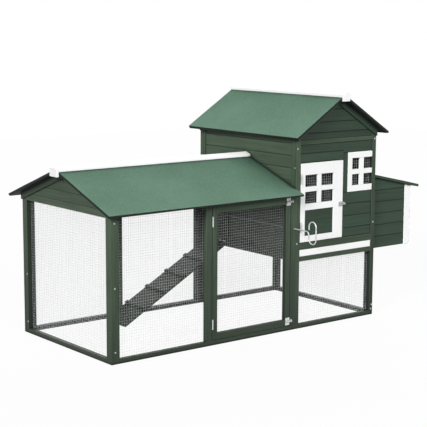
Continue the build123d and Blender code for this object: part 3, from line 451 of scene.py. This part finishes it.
def felt_material():
    """Bitumen felt with a green mineral face: packed granules, faint patches, painted shade towards the ridge,
    near walls and under the caps, and dark cut edges.
    """
    material, shader, add, to_shader = new_material("mineral_felt")
    place = place_in(add, "Object")
    granules = cell_texture(add, place, GRANULE_SCALE)
    colour = ramp(add, granules["Color"], GRANULE_STOPS)
    colour = shaded(add, colour, ramp(add, noise_texture(add, place, **FELT_PATCHES), FELT_PATCH_STOPS))
    # Painted shade, darker towards the ridge
    colour = shaded(add, colour, ramp(add, place_along(add, "Z", "Generated"), RIDGE_SHADE_STOPS))
    # Painted shade near walls and other surfaces within reach
    colour = covered(add, colour, painted_crevice_shade(add, **FELT_BROAD_SHADE), BROAD_SHADE_COLOUR)
    # Dark bitumen on cut edges, and painted shade at close steps such as under the caps
    cut = arithmetic(add, "MULTIPLY", carried(add, "edge"), CUT_SHARE)
    bitumen_and_shade = arithmetic(add, "MAXIMUM", painted_crevice_shade(add, **FELT_CLOSE_SHADE), cut)
    colour = covered(add, colour, bitumen_and_shade, BITUMEN_AND_SHADE_COLOUR)
    to_shader(colour, "Base Color")
    to_shader(between(add, noise_texture(add, place, **FELT_GRIT), *FELT_ROUGH), "Roughness")
    crowns = arithmetic(add, "MULTIPLY", granules["Distance"], -1.0)
    to_shader(bumped(add, crowns, GRANULE_BUMP, GRANULE_DEPTH), "Normal")
    shader.inputs["Specular IOR Level"].default_value = FELT_SPECULAR
    return material


def zinc_material(name, stops, metal, rough, shade_from=None, crevice_shade=None):
    """Zinc-coated steel: a soft spangle under a haze, painted shade behind a place on the Y axis, and painted
    shade where surfaces stand close.
    """
    material, shader, add, to_shader = new_material(name)
    place = place_in(add, "Object")
    haze = noise_texture(add, place, **ZINC_HAZE)
    colour = ramp(add, cell_texture(add, place, SPANGLE_SCALE)["Color"], stops)
    colour = shaded(add, colour, ramp(add, haze, HAZE_STOPS))
    # Painted shade behind a place on the Y axis
    if shade_from is not None:
        rod_shade = add("ShaderNodeMapRange", {
            "Value": place_along(add, "Y"), "From Min": shade_from, "From Max": shade_from + ROD_SHADE_LENGTH,
            "To Max": ROD_SHADE_SHARE,
        }).outputs["Result"]
        colour = covered(add, colour, rod_shade, ROD_SHADE_COLOUR)
    # Painted shade where surfaces stand close
    if crevice_shade:
        colour = covered(add, colour, painted_crevice_shade(add, **crevice_shade), SHADE_COLOUR)
    to_shader(colour, "Base Color")
    to_shader(between(add, haze, rough - ZINC_SMOOTHER, rough + ZINC_ROUGHER), "Roughness")
    shader.inputs["Metallic"].default_value = metal
    return material


# Green timber: its lighter edges are wear with a painted highlight
green_wood = wood_material(
    "green_stained_wood",
    [(0.3, "2B382C"), (0.48, "41503F"), (0.6, "4A5B4A"), (0.78, "596958")],
    edge_colour="63725E", edge_share=0.35, rough=0.62, grain_depth=0.0007, knots=0.55,
    crevice_shade=GREEN_CREVICE_SHADE, ground_shaded=True,
)
wall_wood = wood_material(
    "green_stained_boards",
    [(0.3, "344235"), (0.48, "445343"), (0.6, "4A5B4A"), (0.78, "526352")],
    edge_colour="141C16", edge_share=0.2, rough=0.62, grain_depth=0.0007, knots=0.55,
    crevice_shade=GREEN_CREVICE_SHADE, ground_shaded=True,
)
# A darker copy of the green stain, painted shade
deep_wood = wood_material(
    "green_boards_in_painted_shade",
    [(0.3, "1F2D23"), (0.48, "29392C"), (0.6, "2D4032"), (0.78, "344737")],
    edge_colour="0E1510", edge_share=0.4, rough=0.6, grain_depth=0.0007, knots=0.5,
    crevice_shade=GREEN_CREVICE_SHADE,
)
# Near-black roof boards, painted shade
dark_wood = wood_material(
    "roof_board_in_painted_shade",
    [(0.3, "080C09"), (0.5, "0F1512"), (0.78, "171E1A")],
    edge_colour="1A221D", edge_share=0.35, rough=0.75, grain_depth=0.0006, knots=0.4,
)
# Weathered grey softwood, darker as painted shade for the inside
bare_wood = wood_material(
    "weathered_softwood_in_painted_shade",
    [(0.3, "4A4133"), (0.5, "5F5544"), (0.75, "766B58")],
    edge_colour="7D7360", edge_share=0.3, rough=0.75, grain_depth=0.0006, knots=0.7,
)
PAINT = {
    "stops": [(0.25, "F3F5F3"), (0.45, "FAFBFA"), (0.8, "FDFDFD")],
    "edge_colour": "F2F4F0", "edge_share": 0.5, "rough": 0.45, "grain_depth": 0.0003, "knots": 0.05,
    "tone_span": 0.02, "crevice_shade": PAINT_CREVICE_SHADE,
}
white_wood = wood_material("white_painted_wood", **PAINT)
frame_wood = wood_material("white_faced_frame", **PAINT, stain_from=RUN_LOW.y + PAINT_DEPTH)
mineral_felt = felt_material()
wire_zinc = zinc_material("galvanised_wire", [(0.0, "CDD1D0"), (1.0, "E2E5E4")], metal=0.1, rough=0.5)
fitting_zinc = zinc_material(
    "galvanised_fitting", [(0.0, "A9AEAE"), (0.5, "BEC3C2"), (1.0, "D3D7D6")],
    metal=0.75, rough=0.42, crevice_shade=FITTING_CREVICE_SHADE,
)
# Dark fittings, painted shade
shaded_zinc = zinc_material(
    "fitting_in_painted_shade", [(0.0, "1E2420"), (0.5, "2A312C"), (1.0, "363D38")], metal=0.3, rough=0.6
)
PLATING = {"stops": [(0.0, "CDD1D0"), (0.5, "DCDFDE"), (1.0, "EAECEB")], "metal": 0.35, "rough": 0.36}
bright_zinc = zinc_material("bright_plated_steel", **PLATING, crevice_shade=FITTING_CREVICE_SHADE)
# The pull rod, darkening with painted shade where it runs into the run
rod_zinc = zinc_material("rod_in_painted_shade", **PLATING, shade_from=RUN_LOW.y)

SLOT_FINISH = {
    "green_wood": green_wood, "white_wood": white_wood, "bare_wood": bare_wood,
    "roof_felt": mineral_felt, "galvanised": fitting_zinc,
}
NODE_FINISH = {
    **dict.fromkeys(DARK_BOARDS, dark_wood), **dict.fromkeys(DEEP_BOARDS, deep_wood),
    **dict.fromkeys(WALL_BOARDS, wall_wood), **dict.fromkeys(FACED_FRAMES, frame_wood),
    **dict.fromkeys(NETS, wire_zinc), **dict.fromkeys(SHADED_FITTINGS, shaded_zinc),
    **dict.fromkeys(BRIGHT_FITTINGS, bright_zinc), "pull_rod": rod_zinc,
}

# Painted light and shade: how light a node's solids are beside other green timber, in its order; the rest are
# plain
TIMBER_SHADE_AND_LIGHT = {
    "run_posts": [1.05, 0.9, 0.93, 0.7, 0.85, 0.65],
    "run_bottom_rails": [0.95, 0.8, 1.2],
    "run_gable": 3 * [0.85] + 2 * [0.42],
    "house_base_rails": [0.92, 0.8, 0.8],
    "house_rails": [0.82, 0.7, 1.0, 1.0, 1.0, 0.6],
    "house_posts": [0.9, 1.0, 0.7, 0.9],
    "house_left_boards": [1.0] + 5 * [1.05] + 8 * [0.55],
    "house_gables": [0.8],
    "ramp_board": [0.45],
    "ramp_cleats": 4 * [0.45],
    "pop_door_panel": [0.55],
    "pop_door_tracks": 4 * [0.55],
}


# Pieces
def finish_of(node):
    """A node's own material, or that of its slot."""
    return NODE_FINISH.get(node, SLOT_FINISH[SLOTS[node]])


def link(name, mesh, material):
    """A new object in the scene with one material."""
    piece = bpy.data.objects.new(name, mesh)
    bpy.context.scene.collection.objects.link(piece)
    mesh.materials.append(material)
    return piece


def stand_in(node, mesh):
    """Put a mesh in a node's place, under the mesh's name."""
    piece = link(mesh.name, mesh, finish_of(node))
    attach(piece, frame["nodes"][node]["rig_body"])
    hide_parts(node)


def mesh_of(name, points, faces):
    """A mesh of points, and of faces that are lists of their numbers."""
    mesh = bpy.data.meshes.new(name)
    mesh.from_pydata(points, [], faces)
    return mesh


def cross_axes(along, upright_side):
    """Two directions square to a line and to each other.

    The first is level, or square to a given side where the line is upright.
    """
    side = ALONG_Z if abs(along.z) < UPRIGHT else upright_side
    across = along.cross(side).normalized()
    return across, along.cross(across)


def ring(across, rise, sides):
    """Directions evenly spaced round a line."""
    angles = [math.tau * step / sides for step in range(sides)]
    return [across * math.cos(angle) + rise * math.sin(angle) for angle in angles]


# Solids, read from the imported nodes
def shells_of(node):
    """The closed solids of a node, each a list of faces given by corner points."""
    mesh = frame["nodes"][node].data
    points = [tuple(round(part, POINT_DECIMALS) for part in vertex.co) for vertex in mesh.vertices]
    shells = []
    faces = []
    unmatched = Counter()
    for polygon in mesh.polygons:
        face = [points[index] for index in polygon.vertices]
        if len(set(face)) < 3:
            continue
        faces.append(face)
        for start, end in zip(face, face[1:] + face[:1]):
            if unmatched[(end, start)]:
                unmatched[(end, start)] -= 1
            else:
                unmatched[(start, end)] += 1
        unmatched = +unmatched
        if not unmatched:
            shells.append(faces)
            faces = []
    if faces:
        shells.append(faces)
    return shells


def welded(faces):
    """A bmesh of one solid with its flat faces whole."""
    solid = bmesh.new()
    corners = {}
    for face in faces:
        for point in face:
            if point not in corners:
                corners[point] = solid.verts.new(point)
        solid.faces.new([corners[point] for point in face])
    bmesh.ops.dissolve_limit(
        solid, angle_limit=FLAT_TURN, use_dissolve_boundaries=False, verts=solid.verts, edges=solid.edges
    )
    bmesh.ops.recalc_face_normals(solid, faces=solid.faces)
    return solid


def sharp_edges(solid):
    """The edges where two faces meet at a sharp turn."""
    return [edge for edge in solid.edges if edge.is_manifold and edge.calc_face_angle() > SHARP_TURN]


def longest_along(edges):
    """The direction of the longest of some edges."""
    longest = max(edges, key=lambda edge: edge.calc_length())
    return (longest.verts[1].co - longest.verts[0].co).normalized()


def softened(solid, width, steps):
    """Round every arris of a solid and return the new faces."""
    result = bmesh.ops.bevel(
        solid, geom=sharp_edges(solid), offset=width, offset_type="OFFSET", segments=steps,
        profile=ROUND_PROFILE, affect="EDGES", clamp_overlap=True,
    )
    bmesh.ops.dissolve_degenerate(solid, dist=LEAST_LENGTH, edges=solid.edges)
    solid.normal_update()
    return {face for face in result["faces"] if face.is_valid}


def sliced(solid, axis, step):
    """Cut a solid's faces by planes square to an axis, about a step apart."""
    places = [vertex.co.dot(axis) for vertex in solid.verts]
    low = min(places)
    length = max(places) - low
    count = int(length / step)
    for index in range(1, count + 1):
        cut = axis * (low + index * length / (count + 1))
        everything = solid.verts[:] + solid.edges[:] + solid.faces[:]
        bmesh.ops.bisect_plane(solid, geom=everything, plane_co=cut, plane_no=axis)


class Gathering:
    """Solids gathered into one mesh, which carries marks on its faces and the tone and grain of timbers."""

    def __init__(self):
        self.points = []
        self.faces = []
        self.marks = {}
        self.tone = []
        self.grain = []

    def add(self, solid, **marked):
        """Take in a solid, with named sets of the faces that are marked."""
        first = len(self.points)
        for index, vertex in enumerate(solid.verts):
            vertex.index = index
            self.points.append(vertex.co.copy())
        for face in solid.faces:
            self.faces.append([first + vertex.index for vertex in face.verts])
            for name, faces in marked.items():
                self.marks.setdefault(name, []).append(float(face in faces))

    def add_timber(self, solid, rows, shift, tone, **marked):
        """Take in a timber with its tone, and with the rows and shift that give its grain coordinates."""
        self.add(solid, **marked)
        self.tone += [tone] * len(solid.verts)
        self.grain += [rows @ vertex.co + shift for vertex in solid.verts]

    def mesh(self, name):
        """The finished mesh."""
        mesh = mesh_of(name, self.points, self.faces)
        for mark, values in self.marks.items():
            mesh.attributes.new(mark, "FLOAT", "FACE").data.foreach_set("value", values)
        if self.grain:
            mesh.attributes.new("tone", "FLOAT", "POINT").data.foreach_set("value", self.tone)
            grain = mesh.attributes.new("grain", "FLOAT_VECTOR", "POINT")
            grain.data.foreach_set("vector", [part for vector in self.grain for part in vector])
        return mesh


# Timbers and boards
def edge_width(node):
    """How far a wooden node's arrises are rounded."""
    if SLOTS[node] == "white_wood":
        return PAINTED_EDGE
    if "boards" in node or "gable" in node or node in THIN_TIMBERS:
        return BOARD_EDGE
    return TIMBER_EDGE


def grain_frame(solid, dice):
    """Rows and a chance shift that give grain coordinates, along the longest arris and then across it."""
    along = longest_along(sharp_edges(solid))
    across, rise = cross_axes(along, ALONG_Y)
    shift = Vector([dice.uniform(-GRAIN_SHIFT, GRAIN_SHIFT) for axis in range(3)])
    return Matrix((along, across, rise)), shift


def cut_back_eave(solid, low):
    """Bevel away the arris along a roof board's eave, at the lowest height of its node."""
    high = low + EAVE_REACH
    arrises = [edge for edge in sharp_edges(solid) if all(vertex.co.z < high for vertex in edge.verts)]
    bmesh.ops.bevel(solid, geom=arrises, offset=EAVE_BEVEL, offset_type="OFFSET", segments=1, affect="EDGES")


def joint_faces(solid, rows):
    """The chamfers and softened arrises of a board."""
    return {face for face in solid.faces if max(abs(part) for part in rows @ face.normal) < SQUARE_ON}


def inner_faces(solid):
    """The faces that look across the run or the house from its outside."""
    faces = set()
    for face in solid.faces:
        place = face.calc_center_median()
        middle = HOUSE_MIDDLE if place.x > HOUSE_LOW.x - LEAST_LENGTH else RUN_MIDDLE
        if face.normal.xy.dot((middle - place).xy) > INNER_REACH:
            faces.add(face)
    return faces


def dress(node):
    """Stand a softened, grained copy of a wooden node in its place."""
    dice = random.Random(node)
    lights = TIMBER_SHADE_AND_LIGHT.get(node, [])
    wood = Gathering()
    for index, shell in enumerate(shells_of(node)):
        solid = welded(shell)
        rows, shift = grain_frame(solid, dice)
        if node in DARK_BOARDS:
            cut_back_eave(solid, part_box(node)[0].z)
        edges = softened(solid, edge_width(node), EDGE_STEPS)
        if node in DEEP_BOARDS + WALL_BOARDS:
            edges = joint_faces(solid, rows)
        # Faces that look into the run or the house get painted shade
        inside = inner_faces(solid) if SLOTS[node] == "green_wood" else set()
        # The solid's painted light or shade shifts its chance tone
        light = lights[index] if index < len(lights) else 1.0
        tone = dice.random() + (light - 1.0) / TONE_SPAN
        wood.add_timber(solid, rows, shift, tone, edge=edges, inner=inside)
        solid.free()
    stand_in(node, wood.mesh(f"{node}_wood"))


# Roof felt
def lay_felt(node):
    """Stand a slightly wavy felt with folded edges in a flat felt's place."""
    sheet = Gathering()
    for shell in shells_of(node):
        solid = welded(shell)
        upper = max(solid.faces, key=lambda face: face.calc_area() * max(face.normal.z, 0))
        normal = upper.normal.copy()
        along = longest_along(upper.edges)
        softened(solid, FELT_FOLD, FOLD_STEPS)
        sliced(solid, along, FELT_STEP)
        sliced(solid, normal.cross(along), FELT_STEP)
        cut_edges = {face for face in solid.faces if abs(face.normal.dot(normal)) < FELT_EDGE}
        for vertex in solid.verts:
            vertex.co += normal * FELT_WAVE * noise.noise(vertex.co / FELT_WAVE_LENGTH)
        sheet.add(solid, edge=cut_edges)
        solid.free()
    stand_in(node, sheet.mesh(f"{node}_sheet"))


# Welded mesh
def pitched(low, high, margin):
    """Places at the mesh's pitch, centred between two ends with a margin at each."""
    count = int((high - low - 2 * margin) / WIRE_PITCH)
    first = low + (high - low - count * WIRE_PITCH) / 2
    return [first + index * WIRE_PITCH for index in range(count + 1)]


def add_wire(points, faces, start, end, radius, dice):
    """Add one straight wire as a thin prism, a little out of its place."""
    across, rise = cross_axes((end - start).normalized(), ALONG_X)
    shift = across * dice.uniform(-WIRE_WANDER, WIRE_WANDER)
    near = len(points)
    far = near + WIRE_SIDES
    for place in (start, end):
        points += [place + shift + outward * radius for outward in ring(across, rise, WIRE_SIDES)]
    for step in range(WIRE_SIDES):
        following = (step + 1) % WIRE_SIDES
        faces.append([near + step, near + following, far + following, far + step])
    faces.append([near + step for step in reversed(range(WIRE_SIDES))])
    faces.append([far + step for step in range(WIRE_SIDES)])


def weave_net(node):
    """Stand welded wires at their real pitch in a net's place, an upright layer and a level one."""
    low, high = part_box(node)
    thin = min(range(2), key=lambda axis: high[axis] - low[axis])
    wide = 1 - thin
    radius = PANE_WIRE_RADIUS if node in PANE_NETS else WIRE_RADIUS
    front_layer = low[thin] + radius
    back_layer = front_layer + 2 * radius - WIRE_SINK

    def spot(across, layer, height):
        place = Vector((0, 0, height))
        place[wide] = across
        place[thin] = layer
        return place

    wires = []
    for across in pitched(low[wide], high[wide], radius):
        wires.append((spot(across, front_layer, low.z), spot(across, front_layer, high.z)))
    for height in pitched(low.z, high.z, radius):
        wires.append((spot(low[wide], back_layer, height), spot(high[wide], back_layer, height)))
    dice = random.Random(node)
    points = []
    faces = []
    for start, end in wires:
        add_wire(points, faces, start, end, radius, dice)
    stand_in(node, mesh_of(f"{node}_wires", points, faces))


# Hinges, bolts, rod and saddles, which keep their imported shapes
def finish_fitting(node):
    """Give a fitting its finish."""
    materials = frame["nodes"][node].data.materials
    materials.clear()
    materials.append(finish_of(node))


# Screws
def screw_places():
    """Each screw's point and the way that it faces."""
    depth = RUN_HIGH.y - RUN_LOW.y
    house_left = HOUSE_LOW.x - RUN_LOW.x
    places = [((along, 0, height), FRONT) for along, height in FRONT_SCREWS]
    places += [((along, depth, height), BACK) for along, height in BACK_SCREWS]
    places += [((0, along, height), LEFT) for along, height in RUN_LEFT_SCREWS]
    places += [((house_left, along, height), LEFT) for along, height in HOUSE_LEFT_SCREWS]
    return [(RUN_LOW + Vector(place), outward) for place, outward in places]


def add_screw(heads, point, outward):
    """Add a countersunk cross-slot screw head."""
    foot = []
    rim = []
    crown = []
    well = []
    top = point + outward * SCREW_RISE
    for step, direction in enumerate(ring(*cross_axes(outward, ALONG_X), SCREW_SIDES)):
        in_arm = step % (SCREW_SIDES // SLOT_ARMS) == 0
        reach = SCREW_RADIUS * SLOT_REACH if in_arm else SLOT_WIDTH / 2
        foot.append(heads.verts.new(point + direction * SCREW_RADIUS * SCREW_FOOT - outward * SCREW_SINK))
        rim.append(heads.verts.new(point + direction * SCREW_RADIUS))
        crown.append(heads.verts.new(top + direction * SCREW_RADIUS * SCREW_CROWN))
        well.append(heads.verts.new(top + direction * reach))
    floor = heads.verts.new(point + outward * SCREW_RISE * SLOT_FLOOR)
    for step in range(SCREW_SIDES):
        following = (step + 1) % SCREW_SIDES
        for outer, inner in ((foot, rim), (rim, crown), (crown, well)):
            heads.faces.new([outer[step], outer[following], inner[following], inner[step]])
        heads.faces.new([well[step], well[following], floor])
    heads.faces.new(foot)


def drive_screws():
    """The screw heads on the posts, in one piece that rides on the frame."""
    heads = bmesh.new()
    for point, outward in screw_places():
        add_screw(heads, point, outward)
    bmesh.ops.recalc_face_normals(heads, faces=heads.faces)
    mesh = bpy.data.meshes.new("frame_screws")
    heads.to_mesh(mesh)
    heads.free()
    piece = link("frame_screws", mesh, fitting_zinc)
    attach(piece, "frame")


# Floor, light and camera
def seen_rays(add):
    """One for the rays that show a surface to the camera, straight or by way of metal or glass."""
    path = add("ShaderNodeLightPath").outputs
    shown = arithmetic(add, "MAXIMUM", path["Is Camera Ray"], path["Is Glossy Ray"])
    return arithmetic(add, "MAXIMUM", shown, path["Is Transmission Ray"])


def floor_material():
    """Plain white studio floor: seen as white, with the object's soft shadow kept."""
    material, shader, add, to_shader = new_material("studio_floor")
    tree = material.node_tree
    seen = seen_rays(add)
    to_shader(mixed(add, seen, grey(FLOOR_BOUNCE), grey(FLOOR_WHITE)), "Base Color")
    shader.inputs["Roughness"].default_value = FLOOR_ROUGH
    shader.inputs["Specular IOR Level"].default_value = 0.0
    glow = add("ShaderNodeEmission", {"Color": grey(1.0), "Strength": 1.0})
    share = arithmetic(add, "MULTIPLY", seen, FLOOR_GLOW)
    blend = add("ShaderNodeMixShader", {0: share, 1: shader.outputs[0], 2: glow.outputs[0]})
    tree.links.new(blend.outputs[0], tree.nodes["Material Output"].inputs["Surface"])
    return material


def lay_floor():
    """A large flat floor under the coop."""
    corners = [(-1, -1), (1, -1), (1, 1), (-1, 1)]
    points = [(x * FLOOR_HALF, y * FLOOR_HALF, 0) for x, y in corners]
    mesh = mesh_of("floor", points, [list(range(len(points)))])
    link("floor", mesh, floor_material())


def light_world():
    """A plain soft sky: white where it is seen, dimmer as light."""
    world = bpy.data.worlds.new("studio")
    bpy.context.scene.world = world
    world.use_nodes = True
    tree = world.node_tree
    add = node_adder(tree)
    background = tree.nodes["Background"]
    background.inputs["Color"].default_value = grey(1.0)
    background.inputs["Strength"].default_value = SKY_LIGHT
    shown = add("ShaderNodeBackground", {"Color": grey(1.0), "Strength": 1.0})
    blend = add("ShaderNodeMixShader", {0: seen_rays(add), 1: background.outputs[0], 2: shown.outputs[0]})
    tree.links.new(blend.outputs[0], tree.nodes["World Output"].inputs["Surface"])


def soft_sun(name, towards, light, spread):
    """A broad distant lamp that gives a white surface facing it the light of a share of full white."""
    data = bpy.data.lights.new(name, "SUN")
    data.energy = light * math.pi
    data.angle = spread
    lamp = bpy.data.objects.new(name, data)
    bpy.context.scene.collection.objects.link(lamp)
    lamp.rotation_euler = (-Vector(towards)).to_track_quat("-Z", "Y").to_euler()


def aim_camera():
    """The photograph's camera."""
    yaw, pitch, roll = CAMERA_YAW, CAMERA_PITCH, CAMERA_ROLL
    forward = Vector((math.sin(yaw) * math.cos(pitch), math.cos(yaw) * math.cos(pitch), math.sin(pitch)))
    level = Vector((math.cos(yaw), -math.sin(yaw), 0))
    upright = level.cross(forward)
    right = level * math.cos(roll) + upright * math.sin(roll)
    up = upright * math.cos(roll) - level * math.sin(roll)
    data = bpy.data.cameras.new("photo_camera")
    data.sensor_width = SENSOR_MILLIMETRES
    data.lens = FOCAL_PIXELS / IMAGE_PIXELS * SENSOR_MILLIMETRES
    camera = bpy.data.objects.new("photo_camera", data)
    bpy.context.scene.collection.objects.link(camera)
    turn = Matrix((right, up, -forward)).transposed().to_4x4()
    camera.matrix_world = Matrix.Translation(RUN_LOW + CAMERA_PLACE) @ turn
    bpy.context.scene.camera = camera


# The whole coop and its studio
for timber in TIMBERS:
    dress(timber)
for felt in FELTS:
    lay_felt(felt)
for net in NETS:
    weave_net(net)
for fitting in FITTINGS:
    finish_fitting(fitting)
drive_screws()
lay_floor()
light_world()
soft_sun("key", KEY_TOWARDS, KEY_LIGHT, KEY_SPREAD)
soft_sun("front_fill", FRONT_TOWARDS, FRONT_LIGHT, FRONT_SPREAD)
soft_sun("back_fill", BACK_TOWARDS, BACK_LIGHT, BACK_SPREAD)
aim_camera()
bpy.context.scene.view_settings.view_transform = "Standard"
